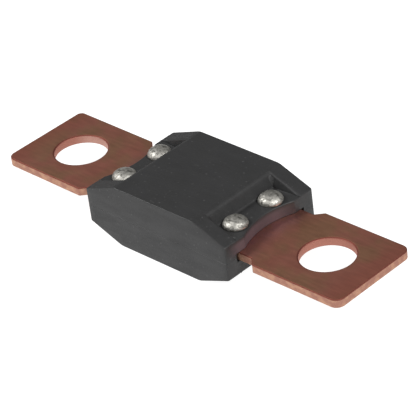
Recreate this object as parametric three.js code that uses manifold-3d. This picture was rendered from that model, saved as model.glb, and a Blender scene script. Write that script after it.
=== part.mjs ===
// Bolt-down high-current fuse: two moulded housing halves riveted over a pair of copper terminal
// blades, with a thin fusible link between the blades inside.
//
// Millimetres, +Z up. The origin is at the middle of the housing's bottom face. +X runs along the
// fuse from blade to blade, and +Y runs across it. The outside is the same on both sides of X = 0
// and of Y = 0. Above and below the blades' mid-plane it differs in the rivets and in the shelves,
// which are cut back on the upper half only.

import * as THREE from 'three';
import { mergeVertices } from 'three/addons/utils/BufferGeometryUtils.js';
import Module from 'manifold-3d';

// ---- Driving dimensions ------------------------------------------------------------------

const studSpacing = 50.8; // between the centres of the two stud holes, 2 inches
const studHoleDiameter = 8.7; // clears an M8 or 5/16 inch stud
const overallLength = 68.2;

const bladeWidth = 16.0;
const bladeThickness = 1.4;
const bladeCornerRadius = 1.4;
const neckWidth = 13.5; // where a blade enters the housing
const neckEnd = 16.7; // x where the 45 degree shoulder starts
const bladeInnerEnd = 5.2; // x of the blade's end inside the housing

const housingLength = 28.6;
const housingWidth = 18.9;
const housingHeight = 10.4;
const housingEdgeRounding = 0.35; // all round the two long side faces
const plateauLength = 16.2; // flat part of the top and of the bottom
const endFaceHeight = 5.7; // flat part of each end
const gussetThickness = 2.7; // sloping side wall beside each rivet shelf
const shelfWall = 8.8; // x of the upright wall at the back of each shelf
const shelfWallRounding = 1.1; // where the plateau turns down into that wall
const washerRelief = 12.35; // radius about the stud hole that an upper shelf is cut back to
const slotWidth = 14.6; // blade slot in the end faces
const cavityLength = 14.4;
const cavityWidth = 12.4;
const coverThickness = 1.8; // between the cavity and the outside

const rivetSpacingX = 22.8;
const rivetSpacingY = 7.7;
const rivetShankDiameter = 2.2;
const rivetHeadDiameter = 3.8;
const rivetHeadHeight = 1.4;
const rivetHollowDiameter = 1.4; // drilled end that is rolled over at assembly
const rivetHollowDepth = 2.2;
const rolledLipDiameter = 3.5;
const rolledLipHeight = 0.8;

const pegDiameter = 1.6;
const pegHeight = 1.2;
const pegOffset = 7.85; // y of the locating pegs

const linkThickness = 0.5;
const linkWidth = 8;
const linkLength = 14;
const linkNotchRadius = 2.4;
const linkNotchSpacing = 5.4;
const solderSpotDiameter = 2.4;
const solderSpotHeight = 0.4;
const arcSheetThickness = 0.4;

const seatClearance = 0.05; // between pieces that lie against each other
const holeClearance = 0.1; // round the rivets and pegs in their holes, and round the arc sheets
const cutMargin = 1; // how far a cutting tool runs past the surface it opens
const roundSegments = 32; // facets round a hole, a peg or a rivet
const reliefSegments = 128; // facets round the full circle of a washer relief

// ---- Heights and places worked out from them ---------------------------------------------

const midHeight = housingHeight / 2;
const bladeBottom = midHeight - bladeThickness / 2;
const bladeTop = midHeight + bladeThickness / 2;
const shelfHeight = midHeight + endFaceHeight / 2; // seat of the rivet heads
const lowerShelfHeight = midHeight - endFaceHeight / 2; // seat of the rolled ends
const cavityTop = housingHeight - coverThickness;
const cavityBottom = coverThickness;
const ends = [{ name: 'left', sign: -1 }, { name: 'right', sign: 1 }];
const sides = [{ name: 'near', sign: -1 }, { name: 'far', sign: 1 }];

// ---- Solids: three.js geometry in, manifold-3d cuts and joins, three.js geometry out --------

const wasm = await Module();
wasm.setup();

function solidFrom(geometry) {
  const bare = geometry.clone();
  bare.deleteAttribute('normal');
  bare.deleteAttribute('uv');
  const merged = mergeVertices(bare, 1e-4);
  return new wasm.Manifold(new wasm.Mesh({
    numProp: 3,
    vertProperties: new Float32Array(merged.attributes.position.array),
    triVerts: new Uint32Array(merged.index.array),
  }));
}

function geometryFrom(solid) {
  const mesh = solid.getMesh();
  const geometry = new THREE.BufferGeometry();
  geometry.setAttribute('position', new THREE.BufferAttribute(mesh.vertProperties, 3));
  geometry.setIndex(new THREE.BufferAttribute(mesh.triVerts, 1));
  geometry.computeVertexNormals();
  return geometry;
}

// A box given by its lowest and highest corners.
function box(low, high) {
  const size = high.map((value, axis) => value - low[axis]);
  const geometry = new THREE.BoxGeometry(...size);
  geometry.translate(...high.map((value, axis) => (value + low[axis]) / 2));
  return solidFrom(geometry);
}

// An upright round bar.
function bar(x, y, diameter, bottom, top, segments = roundSegments) {
  const geometry = new THREE.CylinderGeometry(diameter / 2, diameter / 2, top - bottom, segments);
  geometry.rotateX(Math.PI / 2);
  geometry.translate(x, y, (bottom + top) / 2);
  return solidFrom(geometry);
}

// A plate cut to an outline in the XY plane, between two heights.
function plate(outline, bottom, top) {
  const geometry = new THREE.ExtrudeGeometry(outline, {
    depth: top - bottom,
    bevelEnabled: false,
    curveSegments: 12,
  });
  geometry.translate(0, 0, bottom);
  return geometry;
}

// A round piece turned about the Z axis from [radius, height] points that run upwards.
function turned(profile) {
  const points = profile.map(([radius, height]) => new THREE.Vector2(radius, height));
  const geometry = new THREE.LatheGeometry(points, roundSegments);
  geometry.rotateX(Math.PI / 2);
  return geometryFrom(solidFrom(geometry));
}

// Points of a quarter ellipse about [radius, height], from angle 'start' to 'end' in quarter turns.
function quarterEllipse(radius, height, halfWidth, halfHeight, start, end, steps = 8) {
  return Array.from({ length: steps + 1 }, (_, step) => {
    const angle = (start + (end - start) * step / steps) * Math.PI / 2;
    return [radius + halfWidth * Math.cos(angle), height + halfHeight * Math.sin(angle)];
  });
}

// ---- Materials ---------------------------------------------------------------------------

const blackThermoset = new THREE.MeshStandardMaterial({ color: 0x2f2e30, roughness: 0.55, metalness: 0 });
const copper = new THREE.MeshStandardMaterial({ color: 0xb4705a, roughness: 0.35, metalness: 1 });
const linkCopper = new THREE.MeshStandardMaterial({ color: 0xc07a58, roughness: 0.4, metalness: 1 });
const tin = new THREE.MeshStandardMaterial({ color: 0xb9bbbd, roughness: 0.45, metalness: 1 });
const platedSteel = new THREE.MeshStandardMaterial({ color: 0xc8c6c0, roughness: 0.25, metalness: 1 });
const micaSheet = new THREE.MeshStandardMaterial({ color: 0xb9ab8c, roughness: 0.8, metalness: 0 });

const fuse = new THREE.Group();

function addPiece(name, geometry, material) {
  const mesh = new THREE.Mesh(geometry, material);
  mesh.name = name;
  fuse.add(mesh);
  return mesh;
}

// ---- Housing halves ------------------------------------------------------------------------

// An outline in the XZ plane, given a width along Y and centred on Y = 0.
function acrossFuse(outline, width, rounding = 0) {
  const geometry = new THREE.ExtrudeGeometry(outline, {
    depth: width - 2 * rounding,
    bevelEnabled: rounding > 0,
    bevelThickness: rounding,
    bevelSize: rounding,
    bevelOffset: -rounding,
    bevelSegments: 4,
    curveSegments: 8,
  });
  geometry.translate(0, 0, rounding - width / 2);
  geometry.rotateX(Math.PI / 2);
  return solidFrom(geometry);
}

// The outer form of the upper half: flat top, a slope at each end, and upright end faces. It is
// the top of the whole housing's form, so its side edges are rounded and its joint face is flat.
function halfBlank() {
  const outline = new THREE.Shape();
  outline.moveTo(housingLength / 2, lowerShelfHeight);
  outline.lineTo(housingLength / 2, shelfHeight);
  outline.lineTo(plateauLength / 2, housingHeight);
  outline.lineTo(-plateauLength / 2, housingHeight);
  outline.lineTo(-housingLength / 2, shelfHeight);
  outline.lineTo(-housingLength / 2, lowerShelfHeight);
  outline.lineTo(-plateauLength / 2, 0);
  outline.lineTo(plateauLength / 2, 0);
  outline.closePath();
  return acrossFuse(outline, housingWidth, housingEdgeRounding).intersect(box(
    [-housingLength, -housingWidth, midHeight],
    [housingLength, housingWidth, housingHeight + cutMargin],
  ));
}

// What is cut away above the right-hand shelf, between the gussets.
function shelfPocket() {
  const outside = housingLength / 2 + cutMargin;
  const above = housingHeight + cutMargin;
  const roundingStart = shelfWall - shelfWallRounding;
  const roundingMiddle = housingHeight - shelfWallRounding;
  const outline = new THREE.Shape();
  outline.moveTo(outside, shelfHeight);
  outline.lineTo(outside, above);
  outline.lineTo(roundingStart, above);
  outline.absarc(roundingStart, roundingMiddle, shelfWallRounding, Math.PI / 2, 0, true);
  outline.lineTo(shelfWall, shelfHeight);
  outline.closePath();
  return acrossFuse(outline, housingWidth - 2 * gussetThickness);
}

// The upper half without its locating sockets. A level shelf for the rivets is cut into each
// slope, and what is left of the slope beside it is a gusset on each side.
function halfShell() {
  let shell = halfBlank();
  const outside = housingLength / 2 + cutMargin;
  for (const { sign } of ends) {
    const slotInner = sign * bladeInnerEnd;
    shell = shell.subtract(sign > 0 ? shelfPocket() : shelfPocket().rotate([0, 0, 180]));
    shell = shell.subtract(box(
      [Math.min(slotInner, sign * outside), -slotWidth / 2, midHeight - cutMargin],
      [Math.max(slotInner, sign * outside), slotWidth / 2, bladeTop + seatClearance],
    ));
    for (const side of sides) {
      shell = shell.subtract(bar(
        sign * rivetSpacingX / 2,
        side.sign * rivetSpacingY / 2,
        rivetShankDiameter + 2 * holeClearance,
        midHeight - cutMargin,
        housingHeight,
      ));
    }
  }
  return shell.subtract(box(
    [-cavityLength / 2, -cavityWidth / 2, midHeight - cutMargin],
    [cavityLength / 2, cavityWidth / 2, cavityTop],
  ));
}

// Between the rivets the upper shelves are cut back in an arc, which leaves room on the stud for
// a washer or a cable lug.
function upperHousing() {
  let shell = halfShell();
  for (const { sign } of ends) {
    shell = shell.subtract(bar(
      sign * studSpacing / 2,
      0,
      2 * washerRelief,
      midHeight - cutMargin,
      housingHeight,
      reliefSegments,
    ));
  }
  for (const side of sides) {
    const socketDiameter = pegDiameter + 2 * holeClearance;
    const socketTop = midHeight + pegHeight + holeClearance;
    shell = shell.subtract(bar(0, side.sign * pegOffset, socketDiameter, midHeight - cutMargin, socketTop));
  }
  return geometryFrom(shell);
}

// The lower half is the same shell turned over, with pegs in place of the sockets.
function lowerHousing() {
  const turnedOver = geometryFrom(halfShell());
  turnedOver.translate(0, 0, -midHeight);
  turnedOver.rotateX(Math.PI);
  turnedOver.translate(0, 0, midHeight);
  let shell = solidFrom(turnedOver);
  for (const side of sides) {
    const pegRoot = midHeight - cutMargin;
    shell = shell.add(bar(0, side.sign * pegOffset, pegDiameter, pegRoot, midHeight + pegHeight));
  }
  return geometryFrom(shell);
}

addPiece('housing_upper', upperHousing(), blackThermoset);
addPiece('housing_lower', lowerHousing(), blackThermoset);

// ---- Terminal blades -----------------------------------------------------------------------

// The right-hand blade: a square tab with a stud hole, 45 degree shoulders, and a neck that runs
// between the housing halves and is pinned there by two rivets.
function bladeOutline() {
  const tip = overallLength / 2;
  const half = bladeWidth / 2;
  const neckHalf = neckWidth / 2;
  const shoulderEnd = neckEnd + half - neckHalf;
  const round = bladeCornerRadius;
  const outline = new THREE.Shape();
  outline.moveTo(bladeInnerEnd, -neckHalf);
  outline.lineTo(neckEnd, -neckHalf);
  outline.lineTo(shoulderEnd, -half);
  outline.absarc(tip - round, -half + round, round, -Math.PI / 2, 0, false);
  outline.absarc(tip - round, half - round, round, 0, Math.PI / 2, false);
  outline.lineTo(shoulderEnd, half);
  outline.lineTo(neckEnd, neckHalf);
  outline.lineTo(bladeInnerEnd, neckHalf);
  outline.closePath();
  outline.holes.push(roundHole(studSpacing / 2, 0, studHoleDiameter / 2));
  for (const side of sides) {
    const radius = rivetShankDiameter / 2 + holeClearance;
    outline.holes.push(roundHole(rivetSpacingX / 2, side.sign * rivetSpacingY / 2, radius));
  }
  return outline;
}

function roundHole(x, y, radius) {
  const hole = new THREE.Path();
  hole.absarc(x, y, radius, 0, 2 * Math.PI, true);
  return hole;
}

for (const { name, sign } of ends) {
  const blade = plate(bladeOutline(), bladeBottom, bladeTop);
  if (sign < 0) {
    blade.rotateZ(Math.PI);
  }
  addPiece(`terminal_${name}`, geometryFrom(solidFrom(blade)), copper);
}

// ---- Fusible link and its solder spot --------------------------------------------------------

// A thin strip welded under both blades. Two pairs of round notches leave it narrow at the middle.
function fuseLink() {
  const top = bladeBottom - seatClearance;
  const bottom = top - linkThickness;
  let strip = box([-linkLength / 2, -linkWidth / 2, bottom], [linkLength / 2, linkWidth / 2, top]);
  for (const end of ends) {
    for (const side of sides) {
      strip = strip.subtract(bar(
        end.sign * linkNotchSpacing / 2,
        side.sign * linkWidth / 2,
        2 * linkNotchRadius,
        bottom - cutMargin,
        top + cutMargin,
      ));
    }
  }
  return geometryFrom(strip);
}

// A flat drop of tin that dissolves the middle of the link on a long overload.
function solderSpot() {
  const radius = solderSpotDiameter / 2;
  const drop = turned([[0, 0], ...quarterEllipse(0, 0, radius, solderSpotHeight, 0, 1)]);
  drop.translate(0, 0, bladeBottom);
  return drop;
}

addPiece('fuse_link', fuseLink(), linkCopper);
addPiece('link_solder_spot', solderSpot(), tin);

// ---- Arc barrier sheets ----------------------------------------------------------------------

// One mica sheet lies against the roof of the cavity and one on its floor.
function arcSheet(bottom) {
  const halfLength = cavityLength / 2 - holeClearance;
  const halfWidth = cavityWidth / 2 - holeClearance;
  const top = bottom + arcSheetThickness;
  return geometryFrom(box([-halfLength, -halfWidth, bottom], [halfLength, halfWidth, top]));
}

addPiece('arc_sheet_upper', arcSheet(cavityTop - seatClearance - arcSheetThickness), micaSheet);
addPiece('arc_sheet_lower', arcSheet(cavityBottom + seatClearance), micaSheet);

// ---- Rivets ------------------------------------------------------------------------------------

// A semi-tubular rivet. The domed head sits on the upper shelf, and the hollow end is rolled
// outwards into a lip under the lower shelf.
function rivet() {
  const shankRadius = rivetShankDiameter / 2;
  const hollowRadius = rivetHollowDiameter / 2;
  const headSeat = shelfHeight + seatClearance;
  const lipSeat = lowerShelfHeight - seatClearance;
  const lipMiddle = (rolledLipDiameter / 2 + hollowRadius) / 2;
  const lipHalfWidth = (rolledLipDiameter / 2 - hollowRadius) / 2;
  const hollowTop = lipSeat - rolledLipHeight + rivetHollowDepth;
  return turned([
    [0, hollowTop],
    [hollowRadius, hollowTop],
    ...quarterEllipse(lipMiddle, lipSeat, lipHalfWidth, rolledLipHeight, 2, 4, 12),
    [shankRadius, lipSeat],
    [shankRadius, headSeat],
    ...quarterEllipse(0, headSeat, rivetHeadDiameter / 2, rivetHeadHeight, 0, 1),
  ]);
}

for (const end of ends) {
  for (const side of sides) {
    const piece = rivet();
    piece.translate(end.sign * rivetSpacingX / 2, side.sign * rivetSpacingY / 2, 0);
    addPiece(`rivet_${end.name}_${side.name}`, piece, platedSteel);
  }
}

export default fuse;
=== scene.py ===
"""Looks of a bolt-down fuse: moulded black housing, riveted end shelves, copper terminal blades.

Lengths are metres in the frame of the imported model. MM turns millimetres into metres.
"""
import math

import bmesh
import bpy
from mathutils import Matrix, Quaternion, Vector


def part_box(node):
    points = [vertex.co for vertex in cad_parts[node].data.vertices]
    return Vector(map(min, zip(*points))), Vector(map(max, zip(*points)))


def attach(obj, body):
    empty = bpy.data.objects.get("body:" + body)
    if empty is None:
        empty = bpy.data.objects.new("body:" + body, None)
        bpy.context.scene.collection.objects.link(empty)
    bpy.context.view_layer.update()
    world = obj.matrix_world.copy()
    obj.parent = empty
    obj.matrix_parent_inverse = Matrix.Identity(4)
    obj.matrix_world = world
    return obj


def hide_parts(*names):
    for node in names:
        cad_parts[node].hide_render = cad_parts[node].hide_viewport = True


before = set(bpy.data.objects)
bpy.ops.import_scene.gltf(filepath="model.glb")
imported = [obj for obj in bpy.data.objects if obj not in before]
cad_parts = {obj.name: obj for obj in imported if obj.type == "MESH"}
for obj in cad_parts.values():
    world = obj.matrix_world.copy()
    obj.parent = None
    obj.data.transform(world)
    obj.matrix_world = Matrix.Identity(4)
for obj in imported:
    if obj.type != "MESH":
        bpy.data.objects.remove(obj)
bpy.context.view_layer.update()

MM = 0.001

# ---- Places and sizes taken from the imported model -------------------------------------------

UPPER_LOW, UPPER_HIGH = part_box("housing_upper")
BLADE_LOW, BLADE_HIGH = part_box("terminal_right")
RIVET_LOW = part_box("rivet_right_far")[0]

MID = UPPER_LOW.z  # height at which the two housing halves meet
TOP = UPPER_HIGH.z
HALF_LENGTH = UPPER_HIGH.x
HALF_WIDTH = UPPER_HIGH.y

# ---- Housing form ---------------------------------------------------------------------------

PLATEAU_HALF = 8.1 * MM
SHELF_HEIGHT = 8.05 * MM
SHELF_HALF_WIDTH = 6.75 * MM
EDGE_ROUND = 0.15 * MM  # along the outer edges
WALL_START = 7.7 * MM  # x where the plateau starts to turn down into the shelf's back wall
WALL_ROUND = 1.1 * MM  # rounding at the top of that wall
WALL_STEEPNESS = math.radians(66)
WALL_FOOT = 0.5 * MM  # hollow fillet between the wall and the shelf
GUSSET_ROUND = 0.38 * MM  # along the inner top edges of the gussets
GUSSET_FOOT = 0.12 * MM
GUSSET_DRAFT = 0.62 * MM  # how far the inner wall leans over the full height of the plateau
RELIEF_RADIUS = 12.35 * MM  # arc about the stud hole that the shelf is cut back to
RELIEF_ROUND = 0.2 * MM  # along the upper edge of that arc
CORNER_ROUND = 0.25 * MM  # upright corners, seen from above
SLOPE_BLEND = 0.5 * MM  # each side of the bend between plateau and slope
SEAM_CHAMFER = 0.04 * MM
SUPPORT = 0.06 * MM  # keeps the flat faces flat beside a rounded edge
LEVEL_LINES_X = [x * MM for x in (3, 6, 7, 10.8, 12, 13.2)]  # grid lines where nothing turns
LEVEL_LINES_Y = [y * MM for y in (2, 4, 5.6, 7.6, 8.5)]
SLOT_HALF_WIDTH = 7.3 * MM
SLOT_HEADROOM = 0.05 * MM  # above and below a blade
SLOT_END_GAP = 0.1 * MM  # beyond a blade's inner end
CAVITY_HALF = (7.2 * MM, 6.2 * MM)
CAVITY_TOP = 8.6 * MM
CUT_OVERRUN = 1 * MM  # how far a cutter reaches past the body that it cuts

# ---- Blade form -----------------------------------------------------------------------------

STUD_X = 25.4 * MM
STUD_OFFSETS = {"left": (-0.26 * MM, -0.03 * MM), "right": (-0.2 * MM, 0.1 * MM)}  # from the centres
STUD_HOLE_RADIUS = 4.2 * MM
NECK_HALF = 6.75 * MM
NECK_END = 16.7 * MM
TIP_ROUND = 1.4 * MM
LEFT_FAR_TIP_ROUND = 0.9 * MM
LEFT_TWIST = math.radians(-0.5)  # the left blade sits slightly askew on its rivets
LEFT_SHIFT = 0.06 * MM  # and a little towards the housing
SHOULDER_ROUND = 0.3 * MM
ROLL_OVER = (0.18 * MM, 0.12 * MM)  # width and depth of the soft upper edge left by the punch
HOLE_ROLL_OVER = (0.42 * MM, 0.22 * MM)  # the same round a stud hole
LOWER_BREAK = 0.1 * MM

# ---- Rivet form -----------------------------------------------------------------------------

RIVET_X = 11.4 * MM
RIVET_ROWS = {"near": -4.0 * MM, "far": 3.6 * MM}
RIVET_HEAD_RADIUS = 1.93 * MM
RIVET_SEAT = 8.1 * MM
RIVET_TOP = 9.42 * MM
RIVET_SHANK_RADIUS = 1.1 * MM
RIVET_HOLLOW_RADIUS = 0.7 * MM
RIVET_HOLLOW_DEPTH = 2.2 * MM
RIVET_HOLE_RADIUS = 1.2 * MM
RIVET_FLANGE = 0.12 * MM  # upright rim below the dome
RIVET_RIM_BREAK = 0.05 * MM  # under that rim
RIVET_LIP_RADIUS = 1.75 * MM  # end rolled over under the lower shelf
RIVET_LIP_HEIGHT = 0.8 * MM

# ---- Facets ---------------------------------------------------------------------------------

EDGE_STEPS = 8  # over a rounding of the housing
SMALL_EDGE_STEPS = 5  # over a roll-over or the relief's rounding
BREAK_STEPS = 3  # over a blade's lower break
DOME_STEPS = 12  # from a rivet's top to its rim, and round its rolled end
CORNER_STEP = math.radians(9)  # round a corner of a blade's outline
RELIEF_FACETS = 240
STUD_HOLE_FACETS = 96
RIVET_FACETS = 48
RIVET_HOLE_FACETS = 32
SHARP_ANGLE = 35  # degrees

# ---- Camera ---------------------------------------------------------------------------------

CAMERA_PLACE = Vector((226.639, -205.871, 202.124)) * MM
CAMERA_AIM = Vector((2.342, -0.298, 5.222)) * MM
CAMERA_ROLL = math.radians(-7.592)
CAMERA_LENS = 209.80  # millimetres of focal length


# ---- Mesh tools -----------------------------------------------------------------------------


def new_object(name, bm):
    """Turns a bmesh into an object, smooth apart from its sharp edges."""
    bmesh.ops.recalc_face_normals(bm, faces=bm.faces)
    mesh = bpy.data.meshes.new(name)
    bm.to_mesh(mesh)
    bm.free()
    obj = bpy.data.objects.new(name, mesh)
    bpy.context.scene.collection.objects.link(obj)
    shade(obj)
    return obj


def shade(obj):
    obj.data.shade_smooth()
    obj.data.set_sharp_from_angle(angle=math.radians(SHARP_ANGLE))


def bridge(bm, ring, next_ring):
    """Quads between two closed rings that have the same number of vertices."""
    for i in range(len(ring)):
        j = (i + 1) % len(ring)
        bm.faces.new((ring[i], ring[j], next_ring[j], next_ring[i]))


def ring_edges(bm, ring):
    """The edges round a ring, made where they don't exist yet."""
    edges = []
    for i, vertex in enumerate(ring):
        pair = (vertex, ring[(i + 1) % len(ring)])
        edges.append(bm.edges.get(pair) or bm.edges.new(pair))
    return edges


def quarter(steps):
    """Fractions (along, across) of a quarter circle, from its start to its end."""
    angles = [math.pi / 2 * step / steps for step in range(steps + 1)]
    return [(math.sin(angle), 1 - math.cos(angle)) for angle in angles]


def cut(obj, cutter_bm, name):
    """Takes a closed shape out of obj."""
    cutter = new_object(name, cutter_bm)
    modifier = obj.modifiers.new(name, "BOOLEAN")
    modifier.operation = "DIFFERENCE"
    modifier.solver = "EXACT"
    modifier.object = cutter
    evaluated = obj.evaluated_get(bpy.context.evaluated_depsgraph_get())
    cut_mesh = bpy.data.meshes.new_from_object(evaluated)
    obj.modifiers.clear()
    obj.data = cut_mesh
    bpy.data.objects.remove(cutter)


def add_box(bm, low, high):
    corners = bmesh.ops.create_cube(bm, size=1)["verts"]
    for vertex in corners:
        for axis in range(3):
            vertex.co[axis] = high[axis] if vertex.co[axis] > 0 else low[axis]


def circle(x, y, radius, steps):
    angles = [2 * math.pi * step / steps for step in range(steps)]
    return [Vector((x + radius * math.cos(a), y + radius * math.sin(a))) for a in angles]


def add_round(bm, x, y, profile, steps):
    """A closed round solid about an upright axis, from (radius, height) points."""
    rings = []
    for radius, height in profile:
        rings.append([bm.verts.new((*p, height)) for p in circle(x, y, radius, steps)])
    for ring, next_ring in zip(rings, rings[1:]):
        bridge(bm, ring, next_ring)
    bm.faces.new(rings[0])
    bm.faces.new(rings[-1])


# ---- Housing halves -------------------------------------------------------------------------


def slope_height(x):
    """Height of the plateau and of the sloping gussets, with a soft bend between them."""
    grade = (TOP - SHELF_HEIGHT) / (HALF_LENGTH - PLATEAU_HALF)
    past = abs(x) - PLATEAU_HALF
    if past <= -SLOPE_BLEND:
        return TOP
    if past >= SLOPE_BLEND:
        return TOP - grade * past
    return TOP - grade * (past + SLOPE_BLEND) ** 2 / (4 * SLOPE_BLEND)


def rounded_drop(distance, radius):
    """How far a rounded edge has fallen at this distance from the wall it turns down into."""
    if distance >= radius:
        return 0
    return radius - math.sqrt(max(0, radius**2 - (radius - distance) ** 2))


def back_wall():
    """(x, height) points down the shelf's back wall: rounded top, leaning face, hollow foot."""
    turns = [WALL_STEEPNESS * step / EDGE_STEPS for step in range(EDGE_STEPS + 1)]
    points = []
    for angle in turns:
        fall = WALL_ROUND * (1 - math.cos(angle))
        points.append((WALL_START + WALL_ROUND * math.sin(angle), TOP - fall))
    foot_height = SHELF_HEIGHT + WALL_FOOT * (1 - math.cos(WALL_STEEPNESS))
    face_run = (points[-1][1] - foot_height) / math.tan(WALL_STEEPNESS)
    toe = points[-1][0] + face_run + WALL_FOOT * math.sin(WALL_STEEPNESS)
    for angle in reversed(turns):
        rise = WALL_FOOT * (1 - math.cos(angle))
        points.append((toe - WALL_FOOT * math.sin(angle), SHELF_HEIGHT + rise))
    return points


BACK_WALL = back_wall()


def wall_height(x):
    """Height of the plateau, the back wall or the shelf at x, apart from the gussets."""
    if abs(x) <= BACK_WALL[0][0]:
        return TOP
    for (x0, z0), (x1, z1) in zip(BACK_WALL, BACK_WALL[1:]):
        if abs(x) <= x1:
            return z0 + (z1 - z0) * (abs(x) - x0) / (x1 - x0)
    return SHELF_HEIGHT


def surface_height(x, y):
    """Height of the upper half's outside, before its outer edges are rounded."""
    over_gusset = abs(y) - SHELF_HALF_WIDTH
    if over_gusset >= 0:
        beside = slope_height(x) - rounded_drop(over_gusset, GUSSET_ROUND)
    else:
        beside = SHELF_HEIGHT + rounded_drop(max(0, -over_gusset - GUSSET_DRAFT), GUSSET_FOOT)
    return max(wall_height(x), beside)


def lean(x, y):
    """Draws the inner wall of a gusset together where it is low, so that it leans evenly."""
    inside = SHELF_HALF_WIDTH - abs(y)
    if not 0 < inside <= GUSSET_DRAFT + GUSSET_FOOT:
        return y
    share = max(0.1, (slope_height(x) - SHELF_HEIGHT) / (TOP - SHELF_HEIGHT))
    return math.copysign(SHELF_HALF_WIDTH - inside * share, y)


def grid_lines(half, turns):
    """Grid lines over one axis, close together at the outer edge and where the surface turns."""
    lines = {0.0, *turns, half - EDGE_ROUND - SUPPORT}
    for along, across in quarter(EDGE_STEPS):
        lines.add(half - EDGE_ROUND * (1 - along))
    positive = sorted({round(line, 9) for line in lines})
    return [-line for line in reversed(positive[1:])] + positive


def round_corner(x, y):
    """Moves a point of the square plan onto the plan with round upright corners."""
    past_x = abs(x) - (HALF_LENGTH - CORNER_ROUND)
    past_y = abs(y) - (HALF_WIDTH - CORNER_ROUND)
    if past_x <= 0 or past_y <= 0:
        return x, y
    scale = max(past_x, past_y) / math.hypot(past_x, past_y)
    new_x = HALF_LENGTH - CORNER_ROUND + past_x * scale
    new_y = HALF_WIDTH - CORNER_ROUND + past_y * scale
    return math.copysign(new_x, x), math.copysign(new_y, y)


def housing_skin():
    """The closed outer form of the upper half."""
    bm = bmesh.new()
    wall_turns = [x for x, height in BACK_WALL]
    wall_turns += [BACK_WALL[0][0] - SUPPORT, BACK_WALL[-1][0] + SUPPORT]
    gusset_turns = [
        SHELF_HALF_WIDTH + GUSSET_ROUND + SUPPORT,
        SHELF_HALF_WIDTH - GUSSET_DRAFT - GUSSET_FOOT - SUPPORT,
    ]
    for along, across in quarter(EDGE_STEPS):
        gusset_turns.append(SHELF_HALF_WIDTH + GUSSET_ROUND * (1 - along))
        gusset_turns.append(SHELF_HALF_WIDTH - GUSSET_DRAFT - GUSSET_FOOT * across)
    x_lines = grid_lines(HALF_LENGTH, wall_turns + LEVEL_LINES_X)
    y_lines = grid_lines(HALF_WIDTH, gusset_turns + LEVEL_LINES_Y)
    grid = []
    for x in x_lines:
        row = []
        for y in y_lines:
            border = min(HALF_LENGTH - abs(x), HALF_WIDTH - abs(y))
            z = surface_height(x, y) - rounded_drop(border, EDGE_ROUND)
            row.append(bm.verts.new((*round_corner(x, lean(x, y)), z)))
        grid.append(row)
    for i in range(len(grid) - 1):
        for j in range(len(grid[i]) - 1):
            bm.faces.new((grid[i][j], grid[i + 1][j], grid[i + 1][j + 1], grid[i][j + 1]))
    first, last = grid[0], grid[-1]
    rim = [row[0] for row in grid] + last[1:]
    rim += [row[-1] for row in reversed(grid[:-1])] + list(reversed(first[1:-1]))
    for inset, height in ((0, MID + SEAM_CHAMFER), (SEAM_CHAMFER, MID)):
        ring = []
        for vertex in rim:
            x = vertex.co.x * (1 - inset / HALF_LENGTH)
            y = vertex.co.y * (1 - inset / HALF_WIDTH)
            ring.append(bm.verts.new((x, y, height)))
        bridge(bm, rim, ring)
        rim = ring
    bm.faces.new(rim)
    return bm


def washer_reliefs(bottom):
    """What the upper shelves are cut back by: a round about each stud hole, flared at its top."""
    profile = [(RELIEF_RADIUS, bottom), (RELIEF_RADIUS, SHELF_HEIGHT - RELIEF_ROUND)]
    for along, across in quarter(SMALL_EDGE_STEPS)[1:]:
        height = SHELF_HEIGHT - RELIEF_ROUND * (1 - along)
        profile.append((RELIEF_RADIUS + RELIEF_ROUND * across, height))
    profile.append((RELIEF_RADIUS + RELIEF_ROUND, TOP))
    bm = bmesh.new()
    for x in (-STUD_X, STUD_X):
        add_round(bm, x, 0, profile, RELIEF_FACETS)
    return bm


def housing_half(name, turned_over):
    """One housing half with its blade slots, rivet holes and inner cavity."""
    obj = new_object(name, housing_skin())
    below = MID - CUT_OVERRUN
    slot_top = BLADE_HIGH.z + SLOT_HEADROOM
    slots = bmesh.new()
    for sign in (-1, 1):
        near, far = sorted((sign * (BLADE_LOW.x - SLOT_END_GAP), sign * (HALF_LENGTH + CUT_OVERRUN)))
        add_box(slots, (near, -SLOT_HALF_WIDTH, below), (far, SLOT_HALF_WIDTH, slot_top))
    cut(obj, slots, "slot_cutter")
    cavity = bmesh.new()
    half_x, half_y = CAVITY_HALF
    add_box(cavity, (-half_x, -half_y, below), (half_x, half_y, CAVITY_TOP))
    cut(obj, cavity, "cavity_cutter")
    if not turned_over:
        cut(obj, washer_reliefs(below), "relief_cutter")
    holes = bmesh.new()
    hole_profile = [(RIVET_HOLE_RADIUS, below), (RIVET_HOLE_RADIUS, TOP)]
    for x in (-RIVET_X, RIVET_X):
        for y in RIVET_ROWS.values():
            add_round(holes, x, y, hole_profile, RIVET_HOLE_FACETS)
    cut(obj, holes, "hole_cutter")
    if turned_over:
        bm = bmesh.new()
        bm.from_mesh(obj.data)
        for vertex in bm.verts:
            vertex.co.z = 2 * MID - vertex.co.z
        bmesh.ops.reverse_faces(bm, faces=bm.faces)
        bm.to_mesh(obj.data)
        bm.free()
    shade(obj)
    return obj


# ---- Terminal blades ------------------------------------------------------------------------


def rounded_outline(corners):
    """Points of a closed outline whose (x, y, radius) corners are rounded, anticlockwise."""
    points = []
    for i, (x, y, radius) in enumerate(corners):
        here = Vector((x, y))
        before = (Vector(corners[i - 1][:2]) - here).normalized()
        after = (Vector(corners[(i + 1) % len(corners)][:2]) - here).normalized()
        if radius == 0:
            points.append(here)
            continue
        half_angle = before.angle(after) / 2
        centre = here + (before + after).normalized() * radius / math.sin(half_angle)
        turn = (math.pi - 2 * half_angle) * math.copysign(1, before.cross(after))
        spoke = here + before * radius / math.tan(half_angle) - centre
        steps = max(3, round(abs(turn) / CORNER_STEP))
        for step in range(steps + 1):
            points.append(centre + Matrix.Rotation(-turn * step / steps, 2) @ spoke)
    return points


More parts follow.
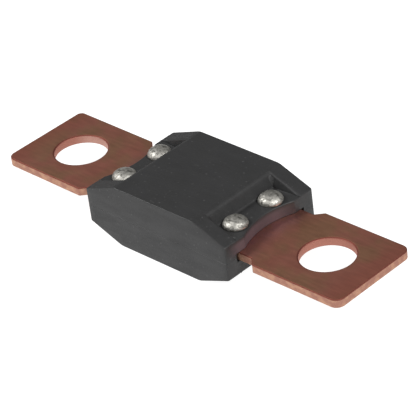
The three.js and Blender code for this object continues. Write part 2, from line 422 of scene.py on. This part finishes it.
def inset_outline(points, distance):
    """The outline moved inwards by distance, with mitred corners."""
    moved = []
    for i, point in enumerate(points):
        before = (point - points[i - 1]).normalized()
        after = (points[(i + 1) % len(points)] - point).normalized()
        inward = Vector((-before.y, before.x)) + Vector((-after.y, after.x))
        inward.normalize()
        stretch = inward.dot(Vector((-before.y, before.x)))
        moved.append(point + inward * distance / stretch)
    return moved


def blade_corners(far_tip_round):
    """Corners of the right-hand blade's outline."""
    half = BLADE_HIGH.y
    near = [
        (BLADE_LOW.x, -NECK_HALF, 0),
        (NECK_END, -NECK_HALF, SHOULDER_ROUND),
        (NECK_END + half - NECK_HALF, -half, SHOULDER_ROUND),
        (BLADE_HIGH.x, -half, TIP_ROUND),
    ]
    far = [(x, -y, radius) for x, y, radius in reversed(near)]
    far[0] = (BLADE_HIGH.x, half, far_tip_round)
    return near + far


def edge_profile(roll_over):
    """(inset, height) steps down a punched edge: roll-over, sheared wall, lower break."""
    width, depth = roll_over
    top, bottom = BLADE_HIGH.z, BLADE_LOW.z
    steps = [(width + SUPPORT, top), (width, top)]
    for along, across in quarter(SMALL_EDGE_STEPS)[1:]:
        steps.append((width * (1 - along), top - depth * across))
    steps.append((0, bottom + LOWER_BREAK + SUPPORT))
    for along, across in quarter(BREAK_STEPS):
        steps.append((LOWER_BREAK * across, bottom + LOWER_BREAK * (1 - along)))
    steps.append((LOWER_BREAK + SUPPORT, bottom))
    return steps


def hole_contour(x, y, radius, facets):
    """A function from an inset to the points of a hole, wider than its radius by the inset."""
    return lambda inset: circle(x, y, radius + inset, facets)


def blade(end, sign, far_tip_round):
    """A punched copper blade. sign is 1 for the right-hand one and -1 for the left-hand one."""
    outline = rounded_outline(blade_corners(far_tip_round))
    stud_x = STUD_X + sign * STUD_OFFSETS[end][0]
    stud_y = STUD_OFFSETS[end][1]
    contours = [
        (lambda inset: inset_outline(outline, inset), ROLL_OVER),
        (hole_contour(stud_x, stud_y, STUD_HOLE_RADIUS, STUD_HOLE_FACETS), HOLE_ROLL_OVER),
    ]
    for y in RIVET_ROWS.values():
        contours.append((hole_contour(RIVET_X, y, RIVET_HOLE_RADIUS, RIVET_HOLE_FACETS), ROLL_OVER))
    bm = bmesh.new()
    top_edges, bottom_edges = [], []
    for contour, roll_over in contours:
        rings = []
        for inset, height in edge_profile(roll_over):
            points = contour(inset)
            rings.append([bm.verts.new((sign * p.x, p.y, height)) for p in points])
        for ring, next_ring in zip(rings, rings[1:]):
            bridge(bm, ring, next_ring)
        top_edges += ring_edges(bm, rings[0])
        bottom_edges += ring_edges(bm, rings[-1])
    for edges in (top_edges, bottom_edges):
        bmesh.ops.triangle_fill(bm, edges=edges, use_beauty=True)
    return new_object(f"blade_{end}", bm)


def set_askew(left_blade):
    """Turns the left blade a little about the middle of its rivets, and shifts it lengthwise."""
    pivot = Matrix.Translation((-RIVET_X, 0, 0))
    shift = Matrix.Translation((LEFT_SHIFT, 0, 0))
    left_blade.data.transform(shift @ pivot @ Matrix.Rotation(LEFT_TWIST, 4, "Z") @ pivot.inverted())


# ---- Rivets ---------------------------------------------------------------------------------


def rivet_profile():
    """(radius, height) points from the top of the domed head to the bottom of the hollow."""
    points = [(0, RIVET_TOP)]
    for along, across in quarter(DOME_STEPS)[1:]:
        height = RIVET_TOP - (RIVET_TOP - RIVET_SEAT - RIVET_FLANGE) * across
        points.append((RIVET_HEAD_RADIUS * along, height))
    lip_seat = RIVET_LOW.z + RIVET_LIP_HEIGHT
    points.append((RIVET_HEAD_RADIUS - RIVET_RIM_BREAK, RIVET_SEAT))
    points.append((RIVET_SHANK_RADIUS, RIVET_SEAT))
    points.append((RIVET_SHANK_RADIUS, lip_seat))
    outer, inner = RIVET_LIP_RADIUS, RIVET_HOLLOW_RADIUS
    for step in range(DOME_STEPS + 1):
        angle = math.pi * step / DOME_STEPS
        radius = (outer + inner) / 2 + (outer - inner) / 2 * math.cos(angle)
        points.append((radius, lip_seat - RIVET_LIP_HEIGHT * math.sin(angle)))
    hollow_top = RIVET_LOW.z + RIVET_HOLLOW_DEPTH
    points += [(inner, hollow_top), (0, hollow_top)]
    return points


def rivet(name, x, y):
    bm = bmesh.new()
    rings = []
    for radius, height in rivet_profile():
        if radius == 0:
            rings.append([bm.verts.new((x, y, height))])
            continue
        rings.append([bm.verts.new((*p, height)) for p in circle(x, y, radius, RIVET_FACETS)])
    for ring, next_ring in zip(rings, rings[1:]):
        if len(ring) == len(next_ring):
            bridge(bm, ring, next_ring)
            continue
        tip, rim = (ring[0], next_ring) if len(ring) == 1 else (next_ring[0], ring)
        for i in range(RIVET_FACETS):
            bm.faces.new((tip, rim[i], rim[(i + 1) % RIVET_FACETS]))
    return new_object(name, bm)


# ---- Node tools -----------------------------------------------------------------------------


class Shader:
    """A material's node tree, with one short call for each kind of node."""

    def __init__(self, name, roughness, metallic=0.0):
        self.material = bpy.data.materials.new(name)
        self.material.use_nodes = True
        self.nodes = self.material.node_tree.nodes
        self.links = self.material.node_tree.links
        self.surface = self.nodes["Principled BSDF"]
        self.surface.inputs["Roughness"].default_value = roughness
        self.surface.inputs["Metallic"].default_value = metallic
        self.place = self.nodes.new("ShaderNodeTexCoord").outputs["Object"]

    def feed(self, value, socket):
        """Links an output to the socket, or sets the socket to a plain value."""
        if isinstance(value, bpy.types.NodeSocket):
            self.links.new(value, socket)
        else:
            socket.default_value = value

    def noise(self, per_mm, detail=3, stretch=(1, 1, 1)):
        """Noise with about per_mm features to the millimetre, stretched along an axis."""
        mapping = self.nodes.new("ShaderNodeMapping")
        mapping.inputs["Scale"].default_value = [per_mm / MM / axis for axis in stretch]
        self.links.new(self.place, mapping.inputs["Vector"])
        texture = self.nodes.new("ShaderNodeTexNoise")
        texture.inputs["Scale"].default_value = 1
        texture.inputs["Detail"].default_value = detail
        self.links.new(mapping.outputs["Vector"], texture.inputs["Vector"])
        return texture.outputs["Fac"]

    def axis(self, name):
        """One axis of the place on the object, in metres."""
        split = self.nodes.new("ShaderNodeSeparateXYZ")
        self.links.new(self.place, split.inputs[0])
        return split.outputs[name]

    def from_middle(self, name):
        """Distance from the middle of the fuse along one axis, in metres."""
        return self.math("ABSOLUTE", self.axis(name))

    def facing(self, name):
        """One axis of the surface's direction."""
        geometry = self.nodes.new("ShaderNodeNewGeometry")
        split = self.nodes.new("ShaderNodeSeparateXYZ")
        self.links.new(geometry.outputs["Normal"], split.inputs[0])
        return split.outputs[name]

    def math(self, operation, first, second=0.0):
        node = self.nodes.new("ShaderNodeMath")
        node.operation = operation
        self.feed(first, node.inputs[0])
        self.feed(second, node.inputs[1])
        return node.outputs[0]

    def spread(self, value, low, high, to_low=0.0, to_high=1.0):
        """Maps low..high to to_low..to_high, and holds the ends."""
        node = self.nodes.new("ShaderNodeMapRange")
        node.interpolation_type = "SMOOTHSTEP"
        settings = (value, low, high, to_low, to_high)
        for setting, socket in zip(settings, ("Value", "From Min", "From Max", "To Min", "To Max")):
            self.feed(setting, node.inputs[socket])
        return node.outputs["Result"]

    def mix(self, amount, first, second):
        """The first colour where amount is 0 and the second where it is 1."""
        node = self.nodes.new("ShaderNodeMix")
        node.data_type = "RGBA"
        self.feed(amount, node.inputs["Factor"])
        self.feed(first, node.inputs["A"])
        self.feed(second, node.inputs["B"])
        return node.outputs["Result"]

    def bump(self, height, depth_mm, before=None):
        """A bump of that depth, on top of the one before it."""
        node = self.nodes.new("ShaderNodeBump")
        node.inputs["Distance"].default_value = depth_mm * MM
        self.links.new(height, node.inputs["Height"])
        if before is not None:
            self.links.new(before, node.inputs["Normal"])
        return node.outputs["Normal"]

    def finish(self, colour, roughness, normal):
        self.feed(colour, self.surface.inputs["Base Color"])
        self.feed(roughness, self.surface.inputs["Roughness"])
        self.links.new(normal, self.surface.inputs["Normal"])
        return self.material


def grey(value, tint=(1, 1, 1)):
    return (*[value * channel for channel in tint], 1)


# ---- Materials ------------------------------------------------------------------------------


def moulded_black():
    """Satin black thermoset: fine grain, faint flow marks, pale specks, and a painted reflection of
    the copper on the end walls just above the blades.

    The faces at the left end are a little rougher than the rest.
    """
    shader = Shader("moulded_black", roughness=0.5)
    clouds = shader.noise(0.25, detail=4)
    grain = shader.noise(5, detail=2)
    flow = shader.noise(0.8, detail=3, stretch=(4, 1, 1))
    specks = shader.spread(shader.noise(2.2, detail=1), 0.70, 0.76)
    shader.surface.inputs["Specular IOR Level"].default_value = 0.32
    colour = shader.mix(clouds, grey(0.013), grey(0.020, (1, 0.99, 1.02)))
    colour = shader.mix(shader.math("MULTIPLY", grain, 0.35), colour, grey(0.03))
    colour = shader.mix(shader.math("MULTIPLY", specks, 0.5), colour, grey(0.07))
    # Painted reflection: a pinkish tint on the end walls just above each blade, where the copper shows
    # in the black.
    lengthwise = shader.spread(shader.from_middle("X"), 12.4 * MM, 13.4 * MM)
    crosswise = shader.spread(shader.axis("Y"), 1 * MM, 7 * MM, 1, 0)
    crosswise = shader.math("MULTIPLY", crosswise, shader.spread(shader.axis("Y"), -9.4 * MM, -6 * MM))
    over_blade = shader.spread(shader.axis("Z"), MID + 0.2 * MM, MID + 1 * MM)
    under_shelf = shader.spread(shader.axis("Z"), SHELF_HEIGHT - 0.9 * MM, SHELF_HEIGHT, 1, 0)
    painted_copper_reflection = shader.math("MULTIPLY", lengthwise, crosswise)
    painted_copper_reflection = shader.math("MULTIPLY", painted_copper_reflection, shader.math("MULTIPLY", over_blade, under_shelf))
    colour = shader.mix(painted_copper_reflection, colour, (0.078, 0.055, 0.060, 1))
    roughness = shader.spread(shader.math("ADD", grain, flow), 0.7, 1.3, 0.42, 0.58)
    rougher_left = shader.spread(shader.facing("X"), -0.3, -0.15, 0.25, 0)
    roughness = shader.math("ADD", roughness, rougher_left)
    normal = shader.bump(grain, 0.012)
    normal = shader.bump(flow, 0.02, normal)
    return shader.finish(colour, roughness, normal)


def blade_copper():
    """Rolled and punched copper: blotchy tarnish on the flats, paler sheared edges."""
    shader = Shader("blade_copper", roughness=0.4, metallic=1.0)
    upward = shader.math("ABSOLUTE", shader.facing("Z"))
    flat = shader.spread(upward, 0.93, 0.995)
    clouds = shader.noise(0.45, detail=4)
    blotches = shader.spread(shader.noise(0.17, detail=3), 0.38, 0.62)
    rolling = shader.noise(2.5, detail=3, stretch=(8, 1, 1))
    pits = shader.noise(6, detail=2)
    reddish = shader.mix(clouds, (0.44, 0.165, 0.118, 1), (0.57, 0.232, 0.170, 1))
    olive = shader.mix(clouds, (0.38, 0.188, 0.110, 1), (0.51, 0.262, 0.160, 1))
    tarnish = shader.mix(blotches, reddish, olive)
    near_housing = shader.spread(shader.from_middle("X"), 14 * MM, 18 * MM, 1, 0)
    stain = shader.math("MULTIPLY", near_housing, shader.spread(clouds, 0.35, 0.65, 0.5, 1))
    tarnish = shader.mix(stain, tarnish, (0.45, 0.205, 0.195, 1))
    worn_tip = shader.spread(shader.from_middle("X"), 29.5 * MM, 33.5 * MM, 0, 0.6)
    tarnish = shader.mix(worn_tip, tarnish, (0.49, 0.165, 0.115, 1))
    tarnish = shader.mix(shader.math("MULTIPLY", rolling, 0.08), tarnish, (0.66, 0.32, 0.23, 1))
    smears = shader.spread(shader.noise(0.9, detail=4), 0.35, 0.65)
    sheared = shader.mix(smears, (0.385, 0.198, 0.150, 1), (0.50, 0.292, 0.200, 1))
    across_hole = shader.spread(shader.from_middle("Y"), 4.4 * MM, 5.4 * MM, 1, 0)
    before_tip = shader.spread(shader.from_middle("X"), 30 * MM, 32 * MM, 1, 0)
    hole_wall = shader.math("MULTIPLY", across_hole, before_tip)
    # Painted light: the far part of the left stud hole's wall is made paler, as if more brightly lit.
    left_end = shader.spread(shader.axis("X"), -1 * MM, 1 * MM, 1, 0)
    painted_light_left_far = shader.math("MULTIPLY", left_end, shader.spread(shader.axis("Y"), 2 * MM, 4 * MM))
    hole_tone_and_painted_light = shader.mix(painted_light_left_far, (0.43, 0.200, 0.155, 1), (0.50, 0.295, 0.245, 1))
    sheared = shader.mix(hole_wall, sheared, hole_tone_and_painted_light)
    # Painted shade: a deep brown band along the top of every sheared wall, just under the roll-over.
    painted_edge_shade = shader.spread(shader.axis("Z"), BLADE_HIGH.z - 0.24 * MM, BLADE_HIGH.z - 0.08 * MM)
    sheared = shader.mix(painted_edge_shade, sheared, (0.17, 0.052, 0.040, 1))
    colour = shader.mix(flat, sheared, tarnish)
    rough_flat = shader.spread(rolling, 0.3, 0.7, 0.38, 0.43)
    rough_flat = shader.math("ADD", rough_flat, shader.math("MULTIPLY", pits, 0.06))
    roughness = shader.spread(flat, 0, 1, 0.65, rough_flat)
    normal = shader.bump(rolling, 0.0015)
    normal = shader.bump(pits, 0.004, normal)
    return shader.finish(colour, roughness, normal)


def plated_steel():
    """Satin plating with random dark spots, over a slightly dented, formed head."""
    shader = Shader("plated_steel", roughness=0.38, metallic=1.0)
    dents = shader.noise(1.3, detail=1)
    facets = shader.noise(2, detail=1)
    scuffs = shader.noise(4, detail=2)
    dark_spots = shader.spread(shader.noise(1.5, detail=3), 0.53, 0.61)
    colour = shader.mix(scuffs, (0.27, 0.262, 0.24, 1), (0.43, 0.418, 0.385, 1))
    colour = shader.mix(shader.math("MULTIPLY", dark_spots, 0.7), colour, (0.11, 0.106, 0.095, 1))
    roughness = shader.spread(scuffs, 0.35, 0.65, 0.46, 0.6)
    normal = shader.bump(dents, 0.12)
    normal = shader.bump(facets, 0.035, normal)
    return shader.finish(colour, roughness, normal)


def link_copper():
    """Thin bright strip with rolling lines."""
    shader = Shader("link_copper", roughness=0.35, metallic=1.0)
    rolling = shader.noise(4, detail=3, stretch=(12, 1, 1))
    colour = shader.mix(rolling, (0.70, 0.37, 0.26, 1), (0.86, 0.50, 0.38, 1))
    roughness = shader.spread(rolling, 0.3, 0.7, 0.28, 0.42)
    return shader.finish(colour, roughness, shader.bump(rolling, 0.004))


def dull_tin():
    """Tin drop with a crystalline, slightly wrinkled skin."""
    shader = Shader("dull_tin", roughness=0.4, metallic=1.0)
    skin = shader.noise(3, detail=4)
    colour = shader.mix(skin, (0.52, 0.52, 0.53, 1), (0.72, 0.72, 0.73, 1))
    roughness = shader.spread(skin, 0.3, 0.7, 0.32, 0.5)
    return shader.finish(colour, roughness, shader.bump(skin, 0.02))


def mica():
    """Layered mica sheet with pearly flakes."""
    shader = Shader("mica", roughness=0.45)
    flakes = shader.noise(0.8, detail=5, stretch=(2, 1, 1))
    colour = shader.mix(flakes, (0.36, 0.30, 0.21, 1), (0.62, 0.56, 0.44, 1))
    roughness = shader.spread(flakes, 0.35, 0.65, 0.3, 0.6)
    return shader.finish(colour, roughness, shader.bump(flakes, 0.02))


def paint(obj, material):
    obj.data.materials.clear()
    obj.data.materials.append(material)


# ---- The fuse -------------------------------------------------------------------------------


def place(piece, node, material):
    """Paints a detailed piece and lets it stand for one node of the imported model."""
    paint(piece, material)
    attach(piece, "root")
    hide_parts(node)


def build_fuse():
    black = moulded_black()
    copper = blade_copper()
    steel = plated_steel()
    place(housing_half("upper_shell", False), "housing_upper", black)
    place(housing_half("lower_shell", True), "housing_lower", black)
    for end, sign, far_tip_round in (("left", -1, LEFT_FAR_TIP_ROUND), ("right", 1, TIP_ROUND)):
        piece = blade(end, sign, far_tip_round)
        if end == "left":
            set_askew(piece)
        place(piece, f"terminal_{end}", copper)
        for side, row in RIVET_ROWS.items():
            piece = rivet(f"domed_rivet_{end}_{side}", sign * RIVET_X, row)
            place(piece, f"rivet_{end}_{side}", steel)
    sheets = mica()
    carried = {
        "fuse_link": link_copper(),
        "link_solder_spot": dull_tin(),
        "arc_sheet_upper": sheets,
        "arc_sheet_lower": sheets,
    }
    for node, material in carried.items():
        for material_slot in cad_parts[node].material_slots:
            material_slot.link = "OBJECT"
            material_slot.material = material


# ---- Floor, lights and camera ---------------------------------------------------------------


def white_table():
    """A plain white light table."""
    bm = bmesh.new()
    bmesh.ops.create_grid(bm, x_segments=1, y_segments=1, size=1.5)
    floor = new_object("white_table", bm)
    floor.location.z = -0.02 * MM
    shader = Shader("table_white", roughness=0.6)
    shader.surface.inputs["Base Color"].default_value = grey(0.2)
    shader.surface.inputs["Emission Color"].default_value = grey(1)
    shader.surface.inputs["Emission Strength"].default_value = 0.96
    paint(floor, shader.material)


def soft_light(name, towards, distance, size, power):
    """A round soft light that faces the fuse from that direction."""
    data = bpy.data.lights.new(name, "AREA")
    data.shape = "DISK"
    data.size = size
    data.energy = power
    light = bpy.data.objects.new(name, data)
    direction = Vector(towards).normalized()
    light.location = direction * distance
    light.rotation_euler = direction.to_track_quat("Z", "Y").to_euler()
    bpy.context.scene.collection.objects.link(light)


def studio():
    world = bpy.data.worlds.new("grey_room")
    world.use_nodes = True
    background = world.node_tree.nodes["Background"]
    background.inputs["Color"].default_value = grey(1)
    background.inputs["Strength"].default_value = 0.22
    bpy.context.scene.world = world
    bpy.context.scene.view_settings.view_transform = "Standard"
    soft_light("front_left_light", (-0.56, -0.43, 0.715), 0.7, 0.2, 4)
    soft_light("right_light", (0.70, 0.05, 0.71), 0.7, 0.2, 4.3)
    soft_light("front_fill_light", (0.35, -0.75, 0.56), 0.8, 0.7, 2.5)


def camera():
    """Long lens, from the right, in front and above, rolled a little to the right."""
    data = bpy.data.cameras.new("camera")
    data.sensor_width = 36
    data.lens = CAMERA_LENS
    obj = bpy.data.objects.new("camera", data)
    obj.location = CAMERA_PLACE
    roll = Quaternion((0, 0, 1), CAMERA_ROLL)
    obj.rotation_mode = "QUATERNION"
    obj.rotation_quaternion = (CAMERA_AIM - CAMERA_PLACE).to_track_quat("-Z", "Y") @ roll
    bpy.context.scene.collection.objects.link(obj)
    bpy.context.scene.camera = obj


build_fuse()
white_table()
studio()
camera()
